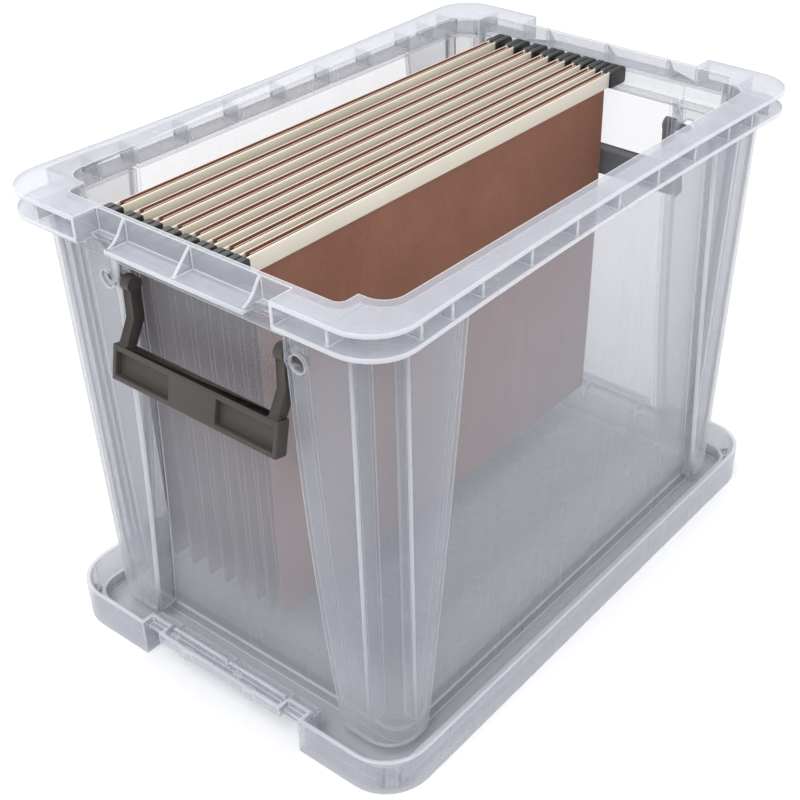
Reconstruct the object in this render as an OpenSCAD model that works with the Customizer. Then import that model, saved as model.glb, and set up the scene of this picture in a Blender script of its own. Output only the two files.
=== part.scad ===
// Portable file box: a see-through tub with hollow corner columns stands in its upturned
// lid, with a swinging handle at each short end and suspension files hanging inside.
// X runs along the box, Y across it and Z up; the ground is at z = 0.

/* [Tub] */
// Length over the rim
rim_l = 392; // [386:1:396]
// Width over the rim
rim_w = 258; // [254:1:262]
// Height of the tub, feet to rim
tub_h = 277; // [270:1:290]
// Thickness of the moulded walls
wall = 2.2; // [1.8:0.1:2.4]
// Thickness of the rim flanges
flange_t = 2.4; // [2:0.1:2.8]
// Height over both rim flanges
rim_h = 14.6; // [13.6:0.1:16]
// Inward bow of the rim at the middle of a long side
rim_bow = 3.6; // [0:0.2:5]
// Pitch of the ribs between the flanges along the long sides
rib_pitch = 39; // [36:1:42]

/* [Columns] */
// Half width of an end recess just below the rim
recess_y_top = 57; // [56.9:0.1:58]
// Growth of that half width down to the feet
recess_y_grow = 17; // [10:0.5:20]
// Half length of a side recess just below the rim
recess_x_top = 116; // [110:1:120]
// Growth of that half length down to the feet
recess_x_grow = 31; // [20:1:34]

/* [Lid] */
// Height of the skirt
lid_h = 24.4; // [23:0.2:26]
// Gap between the rim and the skirt when the lid is on
lid_gap = 1; // [0.8:0.1:1.4]
// Height of the plateau that the tub stands on
seat_h = 11; // [8:0.5:12]

/* [Handles] */
// Height of the crossbar
bar_h = 20; // [17:0.5:21]
// Depth of the crossbar
bar_t = 8; // [6:0.5:8.5]
// Radius of the pivot pins
pin_r = 2.6; // [2:0.1:2.8]

/* [Files] */
// Depth of a file's card pocket
card_drop = 226; // [150:1:235]
// Distance between the first two files
file_pitch = 15.4; // [15.2:0.1:15.6]

/* [Hidden] */
$fn = 48;

// Heights
foot_z = seat_h;
rim_z = foot_z + tub_h;
lower_z = rim_z - rim_h;               // underside of the lower flange
shelf_z = lower_z + flange_t;          // top of the lower flange
ledge_z = rim_z - 20.5;                // top of the ledges that carry the hooks
pocket_z = ledge_z - wall;             // underside of those ledges
floor_gap = 1.4;                       // the shell's floor stands on a ring this high
column_rib_z = foot_z + 14;            // foot of the ribs inside a column
pivot_z = rim_z - 40;

// Half sizes in plan
rim_r = 25;
mouth_x = 166.3;                       // inside of the shell at the rim
mouth_y = 109.2;
mouth_r = 12;
shell_draft = 3.6;
column_x = 182.4;                      // outside of the columns under the rim
column_y = 118.6;
column_draft_x = 4.2;
column_draft_y = 3.2;
column_r = 19;
boss_r = 4.6;                          // boss round a pivot bore, inside the column
access_r = 4.8;                        // hole in the column's front that clears the pin's tip
fillet = 4;
pocket_y = 92.5;                       // inside of the hook ledge pocket
lip_in = 178.5;                        // inside and outside of the web behind a handle
lip_x = 181.2;
web_y = 87.5;                          // half width of the web below the ledge
shelf_y = 47;                          // half width of the shelf between the handle arms
shelf_x = 195;
slot_x = 186;                          // inner end of the slots beside the shelf
block_y = 66;                          // where the corner blocks of the rim end
rib_t = 1.6;
side_ribs = [141, 163];                // ribs between the flanges over a column
gusset_y = 46;                         // the outer two of the three gussets on a shelf
gusset_x = 193;                        // and how far out they reach
web_foot_z = rim_z - 28;               // lower edge of the web

// Handle, measured from its pivot: out from the end of the box, and up
pivot_x = 177;
arm_in = 50.5;
arm_t = 6;
head_r = 4.6;
bar_half = 59;
bar_lean = 12.3;
bar_top_out = 5;                       // the bar's back at its upper edge
bar_top_down = 33.2;
bay_y = 36.6;                          // middle of a bay, its length and its depth
bay_l = 39.6;
bay_depth = 4.4;
pin_tip = 69;
pin_gap = 0.05;

// Lid
lid_t = 2.4;
plateau_x = 164.6;
plateau_y = 107.4;
plateau_r = 11;
rest_z = lid_h - rim_h + flange_t;     // the rim rests on a rib this high when the lid is on
rest_x = 191.2;                        // outside of that rib
rest_y = 123.4;
rest_r = 18;
notch_y = 63;                          // half width of the recess in a short side
notch_x = 184.4;                       // inner end of that recess
clip_y = 48.8;                         // half width of the clip that the handle grips
clip_z = 17.2;                         // underside of the clip's channel
step_x = 194.7;                        // end of the channel's floor beyond the clip
bump_y = 25;                           // bumps on the clip, and their radius and flattening
bump_r = 4.4;
bump_flat = 0.55;
channel_ribs = [-11, -8, 41, 44];      // where ribs cross the clip's channel
channel_rib_h = 4.6;

// Files
file_y_first = 77;
file_crowding = 0.36;                  // each next pair of files hangs closer by twice this
rail_gap = 4.4;
rail_t = 1.2;
rail_h = 10;
rail_x = 166.6;
hook_x = 177.4;
hook_t = 4.4;
hook_h = 16;
card_t = 0.6;
card_x = 157;
card_lift = 0.6;                       // cards and rails hang this far above the ledge

clear_plastic = [0.86, 0.89, 0.92, 0.45];
olive_grey = [0.32, 0.31, 0.28];

// How far down the tub a height lies: 0 under the rim, 1 at the feet
function down(z) = (lower_z - z) / (lower_z - foot_z);
function shell_x(z) = mouth_x + wall - shell_draft * down(z);
function shell_y(z) = mouth_y + wall - shell_draft * down(z);
function front_x(z) = column_x - column_draft_x * down(z);
function side_y(z) = column_y - column_draft_y * down(z);
function recess_y(z) = recess_y_top + recess_y_grow * pow(down(z), 2);
function recess_x(z) = recess_x_top + recess_x_grow * (0.8 * down(z) + 0.2 * pow(down(z), 2));
function file_y(i) = file_y_first - file_pitch * i + file_crowding * i * i;

function arc(x, y, r, from, to, steps = 8) =
  [for (k = [0:steps]) let (a = from + (to - from) * k / steps) [x + r * cos(a), y + r * sin(a)]];
function round_rect(x, y, r) = [for (k = [0:3])
  let (sx = k == 0 || k == 3 ? 1 : -1, sy = k < 2 ? 1 : -1)
  each arc(sx * (x - r), sy * (y - r), r, 90 * k, 90 * k + 90)];
function reverse(list) = [for (k = [len(list) - 1:-1:0]) list[k]];
function at_height(outline, z) = [for (p = outline) [p.x, p.y, z]];

// The rim's outline: round corners, and long sides that bow in towards their middle
function rim_outline(grow = 0) = bowed_outline(grow, rim_bow);
function lid_outline(grow) = bowed_outline(grow + lid_gap, 0);
function bowed_outline(grow, bow) =
  let (x = rim_l / 2 - rim_r, y = rim_w / 2 - rim_r, r = rim_r + grow, edge = rim_w / 2 + grow)
  [each arc(x, y, r, 0, 90),
   each [for (k = [1:11]) let (u = 1 - k / 6) [u * x, edge - bow * (1 - u * u)]],
   each arc(-x, y, r, 90, 180),
   each arc(-x, -y, r, 180, 270),
   each [for (k = [1:11]) let (u = k / 6 - 1) [u * x, bow * (1 - u * u) - edge]],
   each arc(x, -y, r, 270, 360)];

// Closed solid through a stack of outlines, lowest first, that have equally many points.
// The outline of a band runs out along one side of the band and back along the other.
module loft(rings, band = false) {
  n = len(rings[0]);
  top = n * (len(rings) - 1);
  points = [for (ring = rings) each ring];
  sides = [for (k = [0:len(rings) - 2], i = [0:n - 1]) let (a = k * n + i, b = k * n + (i + 1) % n)
    each [[a, a + n, b + n], [a, b + n, b]]];
  cap = band ? [for (i = [0:n / 2 - 2]) [i, i + 1, n - 2 - i, n - 1 - i]] : [[for (i = [0:n - 1]) i]];
  polyhedron(points, [each sides, each cap, for (face = cap) [for (i = reverse(face)) top + i]]);
}

module each_corner() {
  children();
  mirror([1, 0, 0]) children();
  mirror([0, 1, 0]) children();
  mirror([1, 0, 0]) mirror([0, 1, 0]) children();
}

module each_end() {
  children();
  mirror([1, 0, 0]) children();
}

module bar_along_y(x, y, z, x_size, y_size, z_size)
  translate([x, y - y_size / 2, z]) cube([x_size, y_size, z_size]);

// Tub: the shell's outer form, with a rounded bottom edge and a ring to stand on
function shell_ring(z, inset) =
  at_height(round_rect(shell_x(z) - inset, shell_y(z) - inset, mouth_r + wall - inset), z);
function cavity_ring(z, inset) =
  at_height(round_rect(shell_x(z) - wall - inset, shell_y(z) - wall - inset, mouth_r - inset), z);
module shell()
  loft([shell_ring(foot_z, 3), shell_ring(foot_z + 1, 1), shell_ring(foot_z + 3, 0),
    shell_ring(rim_z, 0)]);
module shell_cavity() {
  floor_z = foot_z + floor_gap + wall;
  loft([cavity_ring(floor_z, 4), cavity_ring(floor_z + 1.2, 1.4), cavity_ring(floor_z + 4, 0),
    cavity_ring(rim_z + 1, 0)]);
  translate([0, 0, foot_z - 1])
    linear_extrude(floor_gap + 1) polygon(round_rect(shell_x(foot_z) - 9, shell_y(foot_z) - 9, 8));
}

// A column is a skirt that stands off the shell's corner and is open at the feet
function skirt_ring(z) =
  let (x = front_x(z), y = side_y(z), yc = recess_y(z), xc = recess_x(z), f = fillet, w = wall,
    r = column_r, in_x = shell_x(z) - w / 2, in_y = shell_y(z) - w / 2,
    outer = [[in_x, yc], each arc(x - f, yc + f, f, -90, 0, 3), each arc(x - r, y - r, r, 0, 90),
      each arc(xc + f, y - f, f, 90, 180, 3), [xc, in_y]],
    inner = [[in_x, yc + w], each arc(x - f, yc + f, f - w, -90, 0, 3),
      each arc(x - r, y - r, r - w, 0, 90), each arc(xc + f, y - f, f - w, 90, 180, 3),
      [xc + w, in_y]])
  at_height([each outer, each reverse(inner)], z);
module column_skirt()
  loft([for (k = [0:8]) skirt_ring(foot_z + (shelf_z - foot_z) * k / 8)], band = true);

// Two upright ribs join a column's skirt to the shell, one at each end of its round corner
module column_ribs() {
  half = rib_t / 2;
  loft([for (z = [column_rib_z, shelf_z - 1]) let (y = side_y(z) - column_r)
    at_height([[shell_x(z) - 1, y - half], [front_x(z) - 1, y - half],
      [front_x(z) - 1, y + half], [shell_x(z) - 1, y + half]], z)]);
  loft([for (z = [column_rib_z, shelf_z - 1]) let (x = front_x(z) - column_r)
    at_height([[x - half, shell_y(z) - 1], [x + half, shell_y(z) - 1],
      [x + half, side_y(z) - 1], [x - half, side_y(z) - 1]], z)]);
}

// The rim: two flanges with ribs between them, cut back at each short end for the handle
module rim_flanges() {
  difference() {
    translate([0, 0, lower_z]) linear_extrude(rim_h) polygon(rim_outline());
    translate([0, 0, shelf_z]) linear_extrude(rim_h - 2 * flange_t)
      difference() {
        polygon(rim_outline(5));
        polygon(round_rect(mouth_x + wall, mouth_y + wall, mouth_r + wall));
      }
    each_end() {
      // the upper flange, the space above the shelf and a strip of the shelf's edge
      bar_along_y(lip_x, 0, shelf_z, 30, 2 * block_y, rim_h);
      bar_along_y(shelf_x, 0, lower_z - 1, 30, 2 * block_y, rim_h);
      // the slots that the handle's arms pass through
      for (side = [-1, 1])
        bar_along_y(slot_x, side * (shelf_y + block_y) / 2, lower_z - 1, 30, block_y - shelf_y,
          rim_h + 2);
    }
  }
}
module rim_ribs() {
  t = rib_t;
  for (k = [-3:3], side = [-1, 1])
    bar_along_y(k * rib_pitch - t / 2, side * (mouth_y + 8), lower_z + 1, t, 15, rim_h - 2);
  each_corner() {
    // along the long side, over the column
    for (x = side_ribs)
      bar_along_y(x, 118, lower_z + 1, t, 17, rim_h - 2);
    // the wall that closes the corner block beside the handle, and a rib beyond it
    bar_along_y(lip_in, block_y + t / 2, lower_z, rim_l / 2 - lip_in, t, rim_h);
    bar_along_y(mouth_x + 1, 98, lower_z + 1, rim_l / 2 - mouth_x - 3, t, rim_h - 2);
  }
  // gussets between the web and the shelf, the outer two with a hollow edge
  height = rim_h - flange_t;
  run = gusset_x - lip_x;
  each_end() {
    gusset(0, [[run, 0], [0, height]]);
    for (y = [-gusset_y, gusset_y])
      gusset(y, [[run, 0], [run * 0.7, height * 0.16], [run * 0.42, height * 0.42],
        [run * 0.2, height * 0.74], [0, height]]);
  }
}
module gusset(y, edge)
  translate([lip_x, y + rib_t / 2, shelf_z]) rotate([90, 0, 0]) linear_extrude(rib_t)
    polygon([[-1, rim_h - flange_t], [-1, -1], [edge[0].x, -1], each edge]);

// The pocket at each short end, with the ledge that the files' hooks rest on
module pocket_shape(grow, z, height)
  translate([0, 0, z]) linear_extrude(height)
    polygon(round_rect(lip_in + grow, pocket_y + grow, 5 + grow));
module hook_pockets() {
  difference() {
    union() {
      pocket_shape(lip_x - lip_in, pocket_z, rim_z - pocket_z);
      // the web runs on below the ledge
      each_end() bar_along_y(lip_in, 0, web_foot_z, lip_x - lip_in, 2 * web_y, rim_z - web_foot_z);
    }
    translate([0, 0, pocket_z - 1])
      linear_extrude(rim_h + 20) square([2 * mouth_x - 4, 250], center = true);
  }
}

module tub() {
  color(clear_plastic) difference() {
    union() {
      shell();
      each_corner() {
        column_skirt();
        column_ribs();
        translate([pivot_x, recess_y_top + 1, pivot_z]) rotate([-90, 0, 0]) cylinder(4, r = boss_r);
      }
      rim_flanges();
      rim_ribs();
      hook_pockets();
    }
    shell_cavity();
    pocket_shape(0, ledge_z, rim_h + 20);
    each_corner() {
      translate([pivot_x, recess_y_top - 2, pivot_z]) rotate([-90, 0, 0])
        cylinder(9, r = pin_r + pin_gap);
      translate([pivot_x, pin_tip - 3, pivot_z]) rotate([0, 90, 0]) cylinder(9, r = access_r);
    }
  }
}

// Lid, lying upturned: a panel with a raised plateau and a deep skirt. In each short side a
// recess takes the raised handle, and the clip above the recess goes into the handle's bays.
module lid_recesses() {
  each_end() {
    bar_along_y(notch_x, 0, -1, 30, 2 * notch_y, clip_z + 1);
    for (side = [-1, 1])
      bar_along_y(step_x, side * (clip_y + notch_y) / 2, clip_z - 1, 30, notch_y - clip_y, lid_h);
  }
}
module lid_clips() {
  t = lid_t;
  clip_h = lid_h - clip_z;
  out = rim_l / 2 + lid_gap;
  each_end() {
    // wall behind the recess, floor of the channel and its inner wall
    bar_along_y(notch_x - t, 0, 0, t, 2 * notch_y + t, clip_z + t);
    bar_along_y(notch_x - t, 0, clip_z, step_x - notch_x + t, 2 * notch_y, t);
    bar_along_y(step_x - 1, 0, clip_z, out - step_x + 2, 2 * clip_y, t);
    bar_along_y(rest_x - t, 0, clip_z, t, 2 * notch_y + t, clip_h);
    for (side = [-1, 1]) {
      // cheeks of the recess, and the clip's ends
      bar_along_y(notch_x - t, side * (notch_y + t / 2), 0, out - notch_x + t + 1, t, clip_z + t);
      bar_along_y(rest_x - t, side * (notch_y + t / 2), clip_z, out - rest_x + t + 1, t, clip_h);
      bar_along_y(rest_x - 1, side * (clip_y - t / 2), clip_z, out - rest_x + 2, t, clip_h);
      // bumps that snap into the handle's bays
      translate([out + t / 2, side * bump_y, clip_z]) scale([bump_flat, 1, 1]) cylinder(clip_h, r = bump_r);
    }
    for (y = channel_ribs)
      bar_along_y(rest_x - 1, y, clip_z, out - rest_x + 2, 1.2, channel_rib_h);
  }
}
// Slots in the clip for the gussets of the tub's rim, which the lid is pressed on to
module gusset_slots()
  each_end() for (y = [-gusset_y, 0, gusset_y])
    translate([0, y + 1.2, 0]) rotate([90, 0, 0]) linear_extrude(2.4)
      polygon([[lip_x, rest_z - 1], [lip_x + 1, rest_z - 1], [gusset_x + 1, lid_h - 0.4],
        [gusset_x + 1, lid_h + 1], [lip_x, lid_h + 1]]);
module rest_rib()
  linear_extrude(rest_z) difference() {
    polygon(round_rect(rest_x, rest_y, rest_r));
    polygon(round_rect(rest_x - lid_t, rest_y - lid_t, rest_r - lid_t));
    square([2 * rest_x + 2, 2 * notch_y], center = true);
  }
module lid() {
  color(clear_plastic) difference() {
    union() {
      difference() {
        linear_extrude(lid_h) polygon(lid_outline(lid_t));
        translate([0, 0, lid_t]) linear_extrude(lid_h) polygon(lid_outline(0));
        translate([0, 0, -1]) linear_extrude(lid_h)
          polygon(round_rect(plateau_x - 1, plateau_y - 1, plateau_r));
        lid_recesses();
      }
      difference() {
        loft([at_height(round_rect(plateau_x, plateau_y, plateau_r), 0),
          at_height(round_rect(plateau_x - 0.6, plateau_y - 0.6, plateau_r), seat_h - 1),
          at_height(round_rect(plateau_x - 1.6, plateau_y - 1.6, plateau_r), seat_h)]);
        translate([0, 0, -1]) linear_extrude(seat_h - lid_t + 1)
          polygon(round_rect(plateau_x - 3, plateau_y - 3, plateau_r - 2.4));
      }
      rest_rib();
      // pairs of ribs between the rest and the skirt's corners
      each_corner() for (turn = [36, 54])
        translate([rim_l / 2 - rim_r, rim_w / 2 - rim_r, 0]) rotate(turn)
          translate([rest_r + 1, -rib_t / 2, 0]) cube([rim_r + lid_gap - rest_r, rib_t, rest_z]);
      lid_clips();
    }
    gusset_slots();
  }
}

// Handle at the far end of the box: two cranked arms and a crossbar with two recessed bays
module handle() {
  color(olive_grey) translate([pivot_x, 0, pivot_z]) {
    for (side = [-1, 1]) scale([1, side, 1]) {
      translate([0, arm_in + arm_t, 0]) rotate([90, 0, 0]) linear_extrude(arm_t)
        union() {
          circle(head_r);
          polygon([[-3.6, 0], [3.6, 0], [4.2, -19], [bar_top_out + 6.4, -bar_top_down + 1],
            [bar_top_out + 0.4, -bar_top_down - 3], [-3.2, -21]]);
        }
      translate([0, arm_in + 1, 0]) rotate([-90, 0, 0]) cylinder(pin_tip - 2 - arm_in - 1, r = pin_r);
      translate([0, pin_tip - 2, 0]) sphere(pin_r);
    }
    translate([bar_top_out, 0, -bar_top_down]) rotate([0, -bar_lean, 0]) difference() {
      bar_along_y(0, 0, -bar_h, bar_t, 2 * bar_half, bar_h);
      for (side = [-1, 1])
        bar_along_y(bar_t - bay_depth, side * bay_y, -bar_h + 3, 10, bay_l, bar_h - 6.4);
    }
  }
}
module handle_near() mirror([1, 0, 0]) handle();
module handle_far() handle();

// A file: a folded card pocket hangs from two rails that have a hook on each end
module file_card(i)
  color([0.58, 0.42, 0.35]) translate([0, file_y(i), ledge_z + card_lift]) rotate([90, 0, 90])
    linear_extrude(2 * card_x, center = true)
      polygon([[-rail_gap / 2 - card_t, 0], [-card_t, -card_drop], [card_t, -card_drop],
        [rail_gap / 2 + card_t, 0], [rail_gap / 2, 0], [0, -card_drop + 4], [-rail_gap / 2, 0]]);
module file_rails(i)
  color([0.82, 0.78, 0.68]) translate([0, file_y(i), ledge_z + card_lift])
    for (side = [-1, 1])
      bar_along_y(-rail_x, side * (rail_gap / 2 + card_t / 2), 0, 2 * rail_x, rail_t, rail_h);
module file_hooks(i)
  color([0.1, 0.1, 0.1]) translate([0, file_y(i), ledge_z]) each_end()
    for (side = [-1, 1])
      translate([0, side * (rail_gap / 2 + card_t / 2) + hook_t / 2, 0]) rotate([90, 0, 0])
        linear_extrude(hook_t)
          polygon([[rail_x, 0], [hook_x, 0], [hook_x, hook_h - 6], [hook_x - 3, hook_h],
            [rail_x + 2, hook_h], [rail_x, hook_h - 4]]);

lid();
tub();
handle_near();
handle_far();
file_card(0);  // file_1_card
file_rails(0);  // file_1_rails
file_hooks(0);  // file_1_hooks
file_card(1);  // file_2_card
file_rails(1);  // file_2_rails
file_hooks(1);  // file_2_hooks
file_card(2);  // file_3_card
file_rails(2);  // file_3_rails
file_hooks(2);  // file_3_hooks
file_card(3);  // file_4_card
file_rails(3);  // file_4_rails
file_hooks(3);  // file_4_hooks
file_card(4);  // file_5_card
file_rails(4);  // file_5_rails
file_hooks(4);  // file_5_hooks
file_card(5);  // file_6_card
file_rails(5);  // file_6_rails
file_hooks(5);  // file_6_hooks
file_card(6);  // file_7_card
file_rails(6);  // file_7_rails
file_hooks(6);  // file_7_hooks
file_card(7);  // file_8_card
file_rails(7);  // file_8_rails
file_hooks(7);  // file_8_hooks
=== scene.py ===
import math

import bmesh
import bpy
from mathutils import Matrix, Vector


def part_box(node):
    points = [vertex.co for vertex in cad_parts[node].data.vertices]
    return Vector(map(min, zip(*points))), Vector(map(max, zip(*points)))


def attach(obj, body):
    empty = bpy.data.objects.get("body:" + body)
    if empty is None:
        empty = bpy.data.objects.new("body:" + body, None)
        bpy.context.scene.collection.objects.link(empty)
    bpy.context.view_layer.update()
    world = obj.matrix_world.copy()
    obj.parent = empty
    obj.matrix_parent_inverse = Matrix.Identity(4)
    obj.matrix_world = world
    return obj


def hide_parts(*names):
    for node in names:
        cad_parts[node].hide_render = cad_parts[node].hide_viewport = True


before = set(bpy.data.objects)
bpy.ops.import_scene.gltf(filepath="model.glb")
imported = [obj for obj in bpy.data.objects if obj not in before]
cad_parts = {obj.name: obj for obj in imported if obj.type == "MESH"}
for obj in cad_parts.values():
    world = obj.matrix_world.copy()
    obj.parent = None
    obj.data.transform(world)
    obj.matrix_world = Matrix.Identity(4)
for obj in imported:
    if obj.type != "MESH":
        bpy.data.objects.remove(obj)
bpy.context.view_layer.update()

mm = 0.001


# Shader maths as plain expressions: a Wire is one output socket
class Wire:
    def __init__(self, tree, socket):
        self.tree = tree
        self.socket = socket

    def maths(self, operation, first, second):
        node = self.tree.nodes.new("ShaderNodeMath")
        node.operation = operation
        for slot, value in zip(node.inputs, (first, second)):
            if isinstance(value, Wire):
                self.tree.links.new(value.socket, slot)
            else:
                slot.default_value = value
        return Wire(self.tree, node.outputs[0])

    def __add__(self, other):
        return self.maths("ADD", self, other)

    def __sub__(self, other):
        return self.maths("SUBTRACT", self, other)

    def __mul__(self, other):
        return self.maths("MULTIPLY", self, other)

    def __pow__(self, other):
        return self.maths("POWER", self, other)

    __radd__ = __add__
    __rmul__ = __mul__

    def atMost(self, limit):
        return self.maths("MINIMUM", self, limit)

    def atLeast(self, limit):
        return self.maths("MAXIMUM", self, limit)


# One material, with a method that adds any other node
class Finish:
    def __init__(self, name, **fixed):
        self.material = bpy.data.materials.new(name)
        self.material.use_nodes = True
        self.tree = self.material.node_tree
        self.surface = self.tree.nodes["Principled BSDF"]
        self.set(**fixed)

    def add(self, kind, settings=None, sockets=None, output=0):
        node = self.tree.nodes.new("ShaderNode" + kind)
        for name, value in (settings or {}).items():
            setattr(node, name, value)
        for name, value in (sockets or {}).items():
            self.feed(node.inputs[name], value)
        return Wire(self.tree, node.outputs[output])

    def feed(self, slot, value):
        if isinstance(value, Wire):
            self.tree.links.new(value.socket, slot)
        else:
            slot.default_value = value

    def set(self, **values):
        for name, value in values.items():
            self.feed(self.surface.inputs[socketNames[name]], value)

    def mark(self, name):
        return self.add("Attribute", {"attribute_name": name}, output="Fac")

    def place(self):
        return self.add("TexCoord", output="Object")

    def grain(self, scale, detail, stretch=(1, 1, 1)):
        mapped = self.add("Mapping", sockets={"Vector": self.place(), "Scale": stretch})
        return self.add("TexNoise", sockets={"Vector": mapped, "Scale": scale, "Detail": detail})

    def bump(self, height, distance, strength):
        sockets = {"Height": height, "Distance": distance, "Strength": strength}
        self.set(normal=self.add("Bump", sockets=sockets))

    def blend(self, factor, low, high):
        sockets = {"Factor": factor, 6: low, 7: high}  # 6 and 7 are the Mix node's two colours
        return self.add("Mix", {"data_type": "RGBA"}, sockets, output=2)


socketNames = {
    "color": "Base Color", "roughness": "Roughness", "metallic": "Metallic", "alpha": "Alpha",
    "normal": "Normal", "ior": "IOR", "specular": "Specular IOR Level",
}

# In the looks below a grain is its scale, detail and stretch, a bump its depth in metres and its
# strength, and colours are linear.

# Milky polypropylene: a veil that thickens at a slant, in heavy sections, along the corners and
# towards the foot. A wall has two faces, so the veil counts twice. The colour is also painted
# paler along the corners and at a slant, as a painted highlight and sheen, and paler towards the
# foot, as painted light thrown up from the floor.
clearPlastic = {
    "ior": 1.49,
    "specular": 0.5,
    "veil": 0.165,
    "slantVeil": 0.62,
    "thickVeil": 0.20,
    "edgeVeil": 0.30,
    "footVeil": 0.14,
    "footHeight": 0.085,
    "leastVeil": 0.02,
    "mostVeil": 0.97,
    "slantBlend": 0.35,
    "slantPower": 2.0,
    "cloud": 0.03,
    "cloudGrain": (11, 3),
    "streakGrain": (46, 2, (1, 1, 0.05)),
    "shade": (0.39, 0.412, 0.468, 1),
    "thickShade": (0.49, 0.51, 0.57, 1),
    "paintedFootLightShade": (0.64, 0.655, 0.70, 1),
    "edgeHighlightShade": (0.68, 0.70, 0.75, 1),
    "edgeHighlightTint": 0.9,
    "slantSheenTint": 0.25,
    "slantSheenPower": 3.0,
    "roughness": 0.27,
    "roughnessSpread": 0.07,
    "bump": (0.0002, 0.15),
}


def makeClearPlastic(name, extraVeil, paintedFootLightShare):
    look = clearPlastic
    finish = Finish(name, ior=look["ior"], specular=look["specular"])
    edge = finish.mark("edge")
    thick = finish.mark("thick")
    slant = finish.add("LayerWeight", sockets={"Blend": look["slantBlend"]}, output="Facing")
    cloud = finish.grain(*look["cloudGrain"])
    streak = finish.grain(*look["streakGrain"])
    height = finish.add("SeparateXYZ", sockets={"Vector": finish.place()}, output="Z")
    # painted light: the plastic is painted paler and milkier towards the bottom, standing in for
    # light thrown up from the floor
    foot = (height * (-1 / look["footHeight"]) + 1.0).atLeast(0.0) * paintedFootLightShare

    veil = look["veil"] + extraVeil + look["slantVeil"] * slant ** look["slantPower"]
    veil = veil + look["thickVeil"] * thick + look["edgeVeil"] * edge
    veil = veil + (cloud - 0.5) * look["cloud"] + (streak - 0.5) * look["cloud"]
    veil = veil + foot * look["footVeil"]

    body = finish.blend(thick, look["shade"], look["thickShade"])
    body = finish.blend(foot, body, look["paintedFootLightShade"])
    # painted highlight along the marked corners and painted sheen at a slant, both mixed towards
    # the pale edge colour
    paintedHighlight = edge * look["edgeHighlightTint"] + slant ** look["slantSheenPower"] * look["slantSheenTint"]
    finish.set(
        alpha=veil.atLeast(look["leastVeil"]).atMost(look["mostVeil"]),
        color=finish.blend(paintedHighlight.atMost(1.0), body, look["edgeHighlightShade"]),
        roughness=look["roughness"] + (streak - 0.5) * look["roughnessSpread"],
    )
    finish.bump(cloud, *look["bump"])
    return finish.material


handlePlastic = {
    "ior": 1.49,
    "specular": 0.3,
    "speckle": (420, 3),
    "flow": (14, 2),
    "dark": (0.040, 0.035, 0.031, 1),
    "light": (0.066, 0.058, 0.052, 1),
    "roughness": 0.36,
    "roughnessSpread": 0.16,
    "bump": (0.00006, 0.5),
}


def makeHandlePlastic():
    look = handlePlastic
    finish = Finish("olive grey polypropylene", ior=look["ior"], specular=look["specular"])
    speckle = finish.grain(*look["speckle"])
    flow = finish.grain(*look["flow"])
    finish.set(
        color=finish.blend(flow, look["dark"], look["light"]),
        roughness=look["roughness"] + speckle * look["roughnessSpread"],
    )
    finish.bump(speckle, *look["bump"])
    return finish.material


hookPlastic = {
    "ior": 1.49,
    "speckle": (600, 2),
    "dark": (0.006, 0.006, 0.007, 1),
    "light": (0.020, 0.020, 0.022, 1),
    "roughness": 0.34,
    "roughnessSpread": 0.2,
    "bump": (0.00005, 0.5),
}


def makeHookPlastic():
    look = hookPlastic
    finish = Finish("black hook plastic", ior=look["ior"])
    speckle = finish.grain(*look["speckle"])
    finish.set(
        color=finish.blend(speckle, look["dark"], look["light"]),
        roughness=look["roughness"] + speckle * look["roughnessSpread"],
    )
    finish.bump(speckle, *look["bump"])
    return finish.material


railMetal = {
    "ior": 1.5,
    "metallic": 0.1,
    "brushed": (260, 3, (0.02, 1, 1)),
    "tarnish": (11, 3),
    "dark": (0.60, 0.54, 0.43, 1),
    "light": (0.80, 0.76, 0.67, 1),
    "roughness": 0.34,
    "roughnessSpread": 0.2,
    "bump": (0.00004, 0.5),
}


def makeRailMetal():
    look = railMetal
    finish = Finish("cream coated rail", metallic=look["metallic"], ior=look["ior"])
    brushed = finish.grain(*look["brushed"])
    tarnish = finish.grain(*look["tarnish"])
    finish.set(
        color=finish.blend(tarnish, look["dark"], look["light"]),
        roughness=look["roughness"] + brushed * look["roughnessSpread"],
    )
    finish.bump(brushed, *look["bump"])
    return finish.material


manila = {
    "ior": 1.45,
    "specular": 0.25,
    "fibre": (700, 4, (1, 1, 0.35)),
    "fibreShare": 0.4,
    "mottle": (24, 3),
    "mottleShare": 0.6,
    "dark": (0.150, 0.062, 0.040, 1),
    "light": (0.310, 0.150, 0.103, 1),
    "cut": (0.72, 0.56, 0.50, 1),
    "roughness": 0.82,
    "roughnessSpread": 0.1,
    "bump": (0.00012, 0.6),
}


def makeCard():
    look = manila
    finish = Finish("brown manila card", specular=look["specular"], ior=look["ior"])
    fibre = finish.grain(*look["fibre"])
    mottle = finish.grain(*look["mottle"])
    mixed = mottle * look["mottleShare"] + fibre * look["fibreShare"]
    body = finish.blend(mixed, look["dark"], look["light"])
    finish.set(
        color=finish.blend(finish.mark("edge"), body, look["cut"]),
        roughness=look["roughness"] + fibre * look["roughnessSpread"],
    )
    finish.bump(fibre, *look["bump"])
    return finish.material


print("materials")
finishes = {
    "tub_plastic": makeClearPlastic("tub polypropylene", extraVeil=0.0, paintedFootLightShare=1.0),
    "lid_plastic": makeClearPlastic("lid polypropylene", extraVeil=0.03, paintedFootLightShare=0.25),
    "handle_plastic": makeHandlePlastic(),
    "hook_plastic": makeHookPlastic(),
    "file_rail": makeRailMetal(),
    "file_card": makeCard(),
}


# Gives a finished mesh its object, slot, material and body
def settle(name, mesh, body, slot, nodes):
    piece = bpy.data.objects.new(name, mesh)
    bpy.context.scene.collection.objects.link(piece)
    mesh.materials.clear()
    mesh.materials.append(finishes[slot])
    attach(piece, body)
    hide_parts(*nodes)


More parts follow.
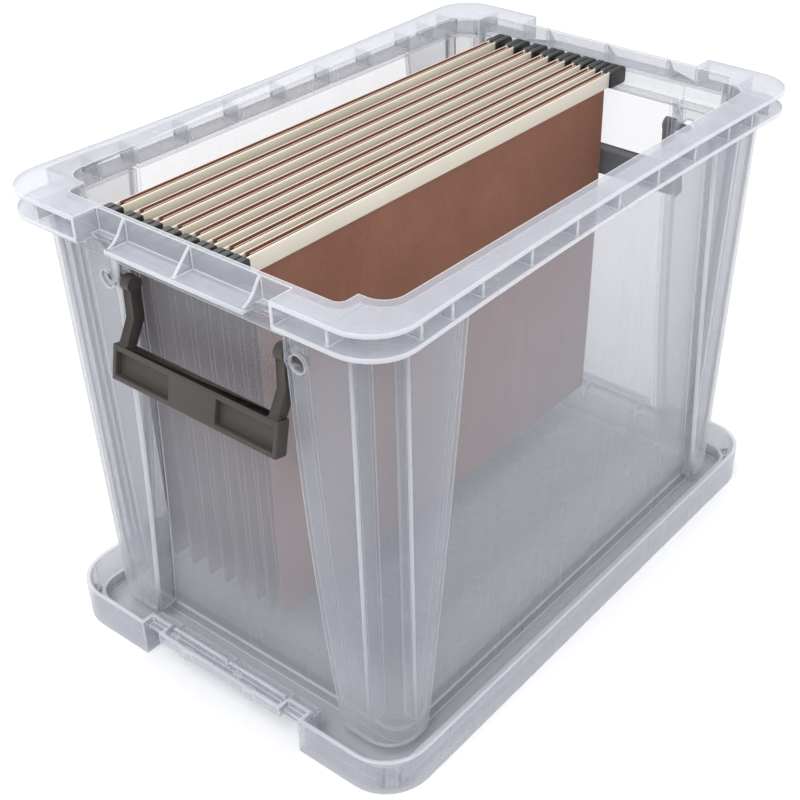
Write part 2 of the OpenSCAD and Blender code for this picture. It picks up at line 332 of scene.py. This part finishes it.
# Faces that meet at more than the angle "smooth" keep a crisp edge; none do where it is 0
def meshFrom(form, name, smooth):
    mesh = bpy.data.meshes.new(name)
    for face in form.faces:
        face.smooth = True
    form.to_mesh(mesh)
    form.free()
    if smooth:
        mesh.set_sharp_from_angle(angle=math.radians(smooth))
    return mesh


def sharpEdges(form, corner, shortest=0.0):
    limit = math.radians(corner)
    return [edge for edge in form.edges if edge.is_manifold
            and edge.calc_face_angle(0) > limit and edge.calc_length() > shortest]


def ease(form, edges, offset):
    bmesh.ops.bevel(form, geom=edges, offset=offset, segments=2, profile=0.5,
                    affect="EDGES", clamp_overlap=False, material=-1)


moulding = {
    "weld": 0.02 * mm,
    "flat": 0.4,            # degrees between faces that are joined
    "corner": 28,           # degrees between faces that get strips
    "band": 0.5 * mm,       # width of a strip
    "narrow": 2.8 * mm,     # a patch narrower than this is all strip
    "rejoin": 0.002 * mm,
}


# A node's own form, welded and with its flat faces joined, ready to be worked on
def formOf(node):
    form = bmesh.new()
    form.from_mesh(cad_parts[node].data)
    bmesh.ops.remove_doubles(form, verts=form.verts, dist=moulding["weld"])
    bmesh.ops.dissolve_limit(form, angle_limit=math.radians(moulding["flat"]),
                             verts=form.verts, edges=form.edges)
    return form


def splitWideFaces(form):
    wide = [face for face in form.faces if len(face.verts) > 4]
    bmesh.ops.triangulate(form, faces=wide)


# Groups of faces that hang together
def patchesOf(form):
    waiting = set(form.faces)
    patches = []
    while waiting:
        patch, front = [], [waiting.pop()]
        while front:
            face = front.pop()
            patch.append(face)
            for edge in face.edges:
                for other in edge.link_faces:
                    if other in waiting:
                        waiting.remove(other)
                        front.append(other)
        patches.append(patch)
    return patches


# Lays a strip along every corner. The strips catch the light as if rounded, and are marked so
# that the plastic looks milky there and is painted paler, a painted highlight; so are faces too
# narrow to take strips, as a wall's end.
def markCorners(form, mark):
    bmesh.ops.split_edges(form, edges=sharpEdges(form, moulding["corner"]))
    for patch in patchesOf(form):
        rim = sum(edge.calc_length() for face in patch for edge in face.edges if edge.is_boundary)
        strips = patch
        # twice its area over its rim is about a patch's width
        if 2 * sum(face.calc_area() for face in patch) > moulding["narrow"] * rim:
            strips = bmesh.ops.inset_region(form, faces=patch, thickness=moulding["band"],
                                            use_boundary=True, use_even_offset=True)["faces"]
        for face in strips:
            face[mark] = 1.0
    bmesh.ops.remove_doubles(form, verts=form.verts, dist=moulding["rejoin"])


# Adds a closed solid between two outlines that have equally many points
def addBetween(form, first, last):
    low, high = ([form.verts.new(point) for point in ring] for ring in (first, last))
    faces = [form.faces.new(low), form.faces.new(high[::-1])]
    for k in range(len(low)):
        n = (k + 1) % len(low)
        faces.append(form.faces.new((low[n], low[k], high[k], high[n])))
    return faces


# Where an upright rib meets the skin of a column the plastic is heavy and shows as a milky line,
# which is also painted paler, as a painted highlight.
# Foot and head are the corner of a column there; all in millimetres.
ribLine = {
    "foot": (178.4, 115.5, 26),
    "head": (182.4, 118.6, 274),
    "round": 19,
    "wide": 1.9,
    "outside": 0.4,
    "inside": 1.8,
}


def ribLineSection(place, onSide):
    x, y, z = (value * mm for value in place)
    skin, along = (y, x) if onSide else (x, y)
    middle, half = along - ribLine["round"] * mm, ribLine["wide"] / 2 * mm
    out, deep = skin - ribLine["outside"] * mm, skin - ribLine["inside"] * mm
    section = [(out, middle - half), (out, middle + half),
               (deep, middle + half), (deep, middle - half)]
    return [Vector((b, a, z)) if onSide else Vector((a, b, z)) for a, b in section]


def addRibLines(form, marks):
    for onSide in (False, True):
        for x, y in ((1, 1), (-1, 1), (1, -1), (-1, -1)):
            foot, head = ([(x * p.x, y * p.y, p.z) for p in ribLineSection(ribLine[end], onSide)]
                          for end in ("foot", "head"))
            line = addBetween(form, foot, head)
            bmesh.ops.recalc_face_normals(form, faces=line)
            for face in line:
                for mark in marks:
                    face[mark] = 1.0


# A clear moulding; "edge" marks its corners and "thick" its heavy sections
def clearMoulding(node, name, slot, thickness, finishing=None):
    form = formOf(node)
    edge = form.faces.layers.float.new("edge")
    thick = form.faces.layers.float.new("thick")
    markCorners(form, edge)
    for face in form.faces:
        face[thick] = thickness(face.calc_center_median().z)
    if finishing:
        finishing(form, (edge, thick))
    splitWideFaces(form)
    settle(name, meshFrom(form, name, 0), node, slot, [node])


# How heavy the plastic is, from 0 to 1, and between which heights in metres
heavy = {"rim": 1.0, "rimFrom": 0.2715, "floor": 0.1, "floorTo": 0.0175, "lid": 0.45}


def tubThickness(z):
    if z > heavy["rimFrom"]:
        return heavy["rim"]
    return heavy["floor"] if z < heavy["floorTo"] else 0.0


def lidThickness(z):
    return heavy["lid"]


handleForm = {
    "armFrom": 50 * mm,          # an arm's outer face is found by its place across the box,
    "armTo": 57 * mm,
    "outward": 0.8,              # by how far it looks outward
    "smallest": 50 * mm * mm,    # and by its area
    "rim": 1.3 * mm,
    "depth": 1.5 * mm,
    "ease": 0.55 * mm,
    "shortest": 1.5 * mm,
    "corner": 40,
    "smooth": 35,
}


# The outer face of each arm is a channel between two ridges
def channelArms(form):
    out = 1 if sum(v.co.x for v in form.verts) > 0 else -1
    for side in (-1, 1):
        faces = [
            face for face in form.faces
            if handleForm["armFrom"] < side * face.calc_center_median().y < handleForm["armTo"]
            and face.normal.x * out > handleForm["outward"]
            and face.calc_area() > handleForm["smallest"]
        ]
        bmesh.ops.inset_region(form, faces=faces, thickness=handleForm["rim"],
                               depth=-handleForm["depth"], use_even_offset=True)


def makeHandle(node):
    form = formOf(node)
    channelArms(form)
    edges = sharpEdges(form, handleForm["corner"], handleForm["shortest"])
    ease(form, edges, handleForm["ease"])
    splitWideFaces(form)
    name = node + "_grip"
    settle(name, meshFrom(form, name, handleForm["smooth"]), node, "handle_plastic", [node])


print("mouldings")
clearMoulding("tub", "tub_shell", "tub_plastic", tubThickness, addRibLines)
clearMoulding("lid", "lid_shell", "lid_plastic", lidThickness)
makeHandle("handle_near")
makeHandle("handle_far")


def arc(x, z, radius, start, end, steps):
    turns = [math.radians(start + (end - start) * step / steps) for step in range(steps + 1)]
    return [(x + radius * math.cos(turn), z + radius * math.sin(turn)) for turn in turns]


def addPrism(form, outline, start, end, toPoint):
    addBetween(form, *([toPoint(a, b, place) for a, b in outline] for place in (start, end)))


# The pieces of a file are drawn in millimetres
rail = {"half": 0.62, "height": 10, "inset": 0.6, "arcSteps": 6, "smooth": 35}


def railOutline(at):
    half, steps, upper = rail["half"], rail["arcSteps"], rail["height"] - rail["half"]
    return arc(at, half, half, 180, 360, steps) + arc(at, upper, half, 0, 180, steps)


def makeRails(body):
    low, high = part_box(body + "_rails")
    middle, gap = (low.y + high.y) / 2 / mm, (high.y - low.y) / 2 / mm - rail["inset"]
    form = bmesh.new()
    for side in (-1, 1):
        addPrism(form, railOutline(middle + side * gap), low.x, high.x,
                 lambda a, b, x: (x, a * mm, low.z + b * mm))
    bmesh.ops.recalc_face_normals(form, faces=form.faces)
    name = body + "_hanging_rails"
    settle(name, meshFrom(form, name, rail["smooth"]), body, "file_rail", [body + "_rails"])


hook = {
    "thick": 4.4,
    "top": 10.9,
    "nose": 3.0,
    "noseSteps": 5,
    "sleeve": 6.6,
    "sleeveRise": 0.3,
    "shoulder": 1.2,
    "shoulderSteps": 3,
    "toe": 1.2,
    "toeRise": 1.4,
    "ease": 0.5,
    "corner": 50,
    "smooth": 40,
}


# Seen from the side: a low bar that rests on the ledge and sleeves the end of the rail
def hookOutline(inner, tip):
    top, nose, shoulder = hook["top"], hook["nose"], hook["shoulder"]
    back = inner - hook["sleeve"]
    return ([(back, hook["sleeveRise"]), (tip - hook["toe"], 0.0), (tip, hook["toeRise"])]
            + arc(tip - nose, top - nose, nose, 0, 90, hook["noseSteps"])
            + arc(back + shoulder, top - shoulder, shoulder, 90, 180, hook["shoulderSteps"]))


def makeHooks(body):
    low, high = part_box(body + "_hooks")
    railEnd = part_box(body + "_rails")[1].x
    middle = (low.y + high.y) / 2 / mm
    apart = (high.y - low.y) / 2 / mm - hook["thick"] / 2
    outline = hookOutline(railEnd / mm, high.x / mm)
    form = bmesh.new()
    for end in (-1, 1):
        for side in (-1, 1):
            at = middle + side * apart
            addPrism(form, outline, at - hook["thick"] / 2, at + hook["thick"] / 2,
                     lambda a, b, y: (end * a * mm, y * mm, low.z + b * mm))
    bmesh.ops.recalc_face_normals(form, faces=form.faces)
    ease(form, sharpEdges(form, hook["corner"]), hook["ease"] * mm)
    name = body + "_end_hooks"
    settle(name, meshFrom(form, name, hook["smooth"]), body, "hook_plastic", [body + "_hooks"])


card = {
    "sheet": 0.5,
    "hem": 10.3,            # height of the hem's top above the rail's foot
    "hemBend": 5.0,
    "hemEnd": 0.2,
    "hemOut": 1.84,
    "fold": 0.8,            # radius of the fold at the foot
    "foldSteps": 4,
    "flapSteps": 15,
    "bulge": 1.4,
    "leastBulge": 0.6,      # share of the bulge that every file has
    "bulgeSpread": 0.4,
    "bulgeTurn": 2.4,
    "ripple": 0.3,
    "rippleWaves": 7,
    "rippleTurn": 1.7,
    "rippleFrom": 60,       # depth at which the ripple is at its full size
    "stations": 21,
    "cutEnd": 0.2,          # how pale the cut edges are
    "cutHem": 0.85,
    "smooth": 50,
}


# One flap from its hem on the rail's inner side down to the fold, as (out, height) pairs
def flapLine(drop, bulge):
    hemOut, fold, steps = card["hemOut"], card["fold"], card["flapSteps"]
    line = [(hemOut, height) for height in (card["hem"], card["hemBend"], card["hemEnd"])]
    for step in range(1, steps):
        t = step / steps
        out = hemOut + (fold - hemOut) * t + bulge * math.sin(math.pi * t)
        line.append((out, -drop * t))
    return line + arc(0, -drop + fold, fold, 0, -90, card["foldSteps"])


# One face of the sheet as rows of points along the box, off the flaps' line by "offset"
def sheetRows(form, line, offset, number, low, high):
    middle = (low.y + high.y) / 2
    rows = []
    for k, (out, height) in enumerate(line):
        before, after = line[max(k - 1, 0)], line[min(k + 1, len(line) - 1)]
        across = Vector((after[1] - before[1], before[0] - after[0])).normalized()
        depth = min(1, max(0, -height / card["rippleFrom"]))
        row = []
        for station in range(card["stations"]):
            u = station / (card["stations"] - 1)
            wave = math.sin(card["rippleWaves"] * u + number * card["rippleTurn"])
            y = out + across.x * offset + card["ripple"] * wave * depth
            z = height + across.y * offset
            x = low.x + (high.x - low.x) * u
            row.append(form.verts.new((x, middle + y * mm, high.z + z * mm)))
        rows.append(row)
    return rows


# A folded card: a thin closed sheet that follows both flaps, a little bowed and rippled
def makeCardPocket(body, number):
    low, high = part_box(body + "_card")
    spread = card["bulgeSpread"] * math.sin(number * card["bulgeTurn"])
    right = flapLine((high.z - low.z) / mm, card["bulge"] * (card["leastBulge"] + spread))
    line = right + [(-out, height) for out, height in right[-2::-1]]
    form = bmesh.new()
    mark = form.faces.layers.float.new("edge")
    outer, inner = [sheetRows(form, line, card["sheet"] * face, number, low, high)
                    for face in (0, 1)]
    last, end = len(line) - 1, card["stations"] - 1
    for k in range(last):
        for s in range(end):
            form.faces.new((outer[k][s], outer[k][s + 1], outer[k + 1][s + 1], outer[k + 1][s]))
            form.faces.new((inner[k + 1][s], inner[k + 1][s + 1], inner[k][s + 1], inner[k][s]))
        for s in (0, end):
            cut = form.faces.new((outer[k][s], outer[k + 1][s], inner[k + 1][s], inner[k][s]))
            cut[mark] = card["cutEnd"]
    for s in range(end):
        for k in (0, last):
            cut = form.faces.new((outer[k][s], inner[k][s], inner[k][s + 1], outer[k][s + 1]))
            cut[mark] = card["cutHem"]
    bmesh.ops.recalc_face_normals(form, faces=form.faces)
    name = body + "_card_pocket"
    settle(name, meshFrom(form, name, card["smooth"]), body, "file_card", [body + "_card"])


print("files")
fileCount = 8
for number in range(1, fileCount + 1):
    makeRails("file_%d" % number)
    makeHooks("file_%d" % number)
    makeCardPocket("file_%d" % number, number)


# Camera fitted to the photograph, in millimetres and degrees, and in the picture's pixels
view = {
    "place": (-551.4, -445.7, 578.8),
    "yaw": 36.642,
    "pitch": -35.431,
    "roll": 0.909,
    "focal": 1339.1,
    "centre": (477.5, 440.8),
    "picture": 800,
    "sensor": 36,
    "nearest": 10,
}


def placeCamera():
    yaw, pitch, roll = (math.radians(view[k]) for k in ("yaw", "pitch", "roll"))
    ahead = Vector((math.cos(pitch) * math.cos(yaw), math.cos(pitch) * math.sin(yaw),
                    math.sin(pitch)))
    level = ahead.cross(Vector((0, 0, 1))).normalized()
    over = level.cross(ahead)
    right = level * math.cos(roll) + over * math.sin(roll)
    up = over * math.cos(roll) - level * math.sin(roll)
    lens = bpy.data.cameras.new("camera")
    lens.sensor_width = view["sensor"]
    lens.lens = view["focal"] / view["picture"] * view["sensor"]
    lens.shift_x = (view["picture"] / 2 - view["centre"][0]) / view["picture"]
    lens.shift_y = (view["centre"][1] - view["picture"] / 2) / view["picture"]
    lens.clip_start = view["nearest"] * mm
    camera = bpy.data.objects.new("camera", lens)
    bpy.context.scene.collection.objects.link(camera)
    turn = Matrix(((right.x, up.x, -ahead.x), (right.y, up.y, -ahead.y),
                   (right.z, up.z, -ahead.z)))
    camera.matrix_world = Matrix.Translation(Vector(view["place"]) * mm) @ turn.to_4x4()
    bpy.context.scene.camera = camera


stage = {
    "floor": 6.0,
    "floorColour": (0.93, 0.93, 0.94, 1),
    "floorRoughness": 0.9,
    "floorDrop": 0.0002,    # just under the lid, so that the two don't flicker
    "sky": 0.85,
}


# The world lights the part softly, and is plain white wherever it is seen
def buildStage():
    world = bpy.data.worlds.new("studio")
    world.use_nodes = True
    tree = world.node_tree
    background = tree.nodes["Background"]
    background.inputs["Color"].default_value = (1, 1, 1, 1)
    rays = tree.nodes.new("ShaderNodeLightPath")
    seen = Wire(tree, rays.outputs["Is Camera Ray"])
    for ray in ("Is Glossy Ray", "Is Transmission Ray"):
        seen = seen.atLeast(Wire(tree, rays.outputs[ray]))
    strength = stage["sky"] + (1 - stage["sky"]) * seen
    tree.links.new(strength.socket, background.inputs["Strength"])
    bpy.context.scene.world = world

    form = bmesh.new()
    bmesh.ops.create_grid(form, x_segments=1, y_segments=1, size=stage["floor"] / 2)
    mesh = bpy.data.meshes.new("floor")
    form.to_mesh(mesh)
    form.free()
    floor = bpy.data.objects.new("floor", mesh)
    floor.location.z = -stage["floorDrop"]
    bpy.context.scene.collection.objects.link(floor)
    ground = Finish("pale floor", roughness=stage["floorRoughness"], specular=0.0,
                    color=stage["floorColour"])
    mesh.materials.append(ground.material)


lamps = {
    "key": {"at": (-1.3, -0.2, 1.9), "size": 1.4, "power": 26},
    "fill": {"at": (0.9, -1.7, 1.2), "size": 1.6, "power": 12},
    "back": {"at": (0.8, 1.4, 1.6), "size": 1.2, "power": 10},
}
lampsLookAt = (0, 0, 0.14)


def placeLamps():
    for name, lamp in lamps.items():
        light = bpy.data.lights.new(name, "AREA")
        light.size = lamp["size"]
        light.energy = lamp["power"]
        holder = bpy.data.objects.new(name, light)
        holder.location = lamp["at"]
        toBox = Vector(lampsLookAt) - holder.location
        holder.rotation_euler = toBox.to_track_quat("-Z", "Y").to_euler()
        bpy.context.scene.collection.objects.link(holder)


print("camera and studio")
placeCamera()
buildStage()
placeLamps()
bpy.context.scene.view_settings.view_transform = "Standard"
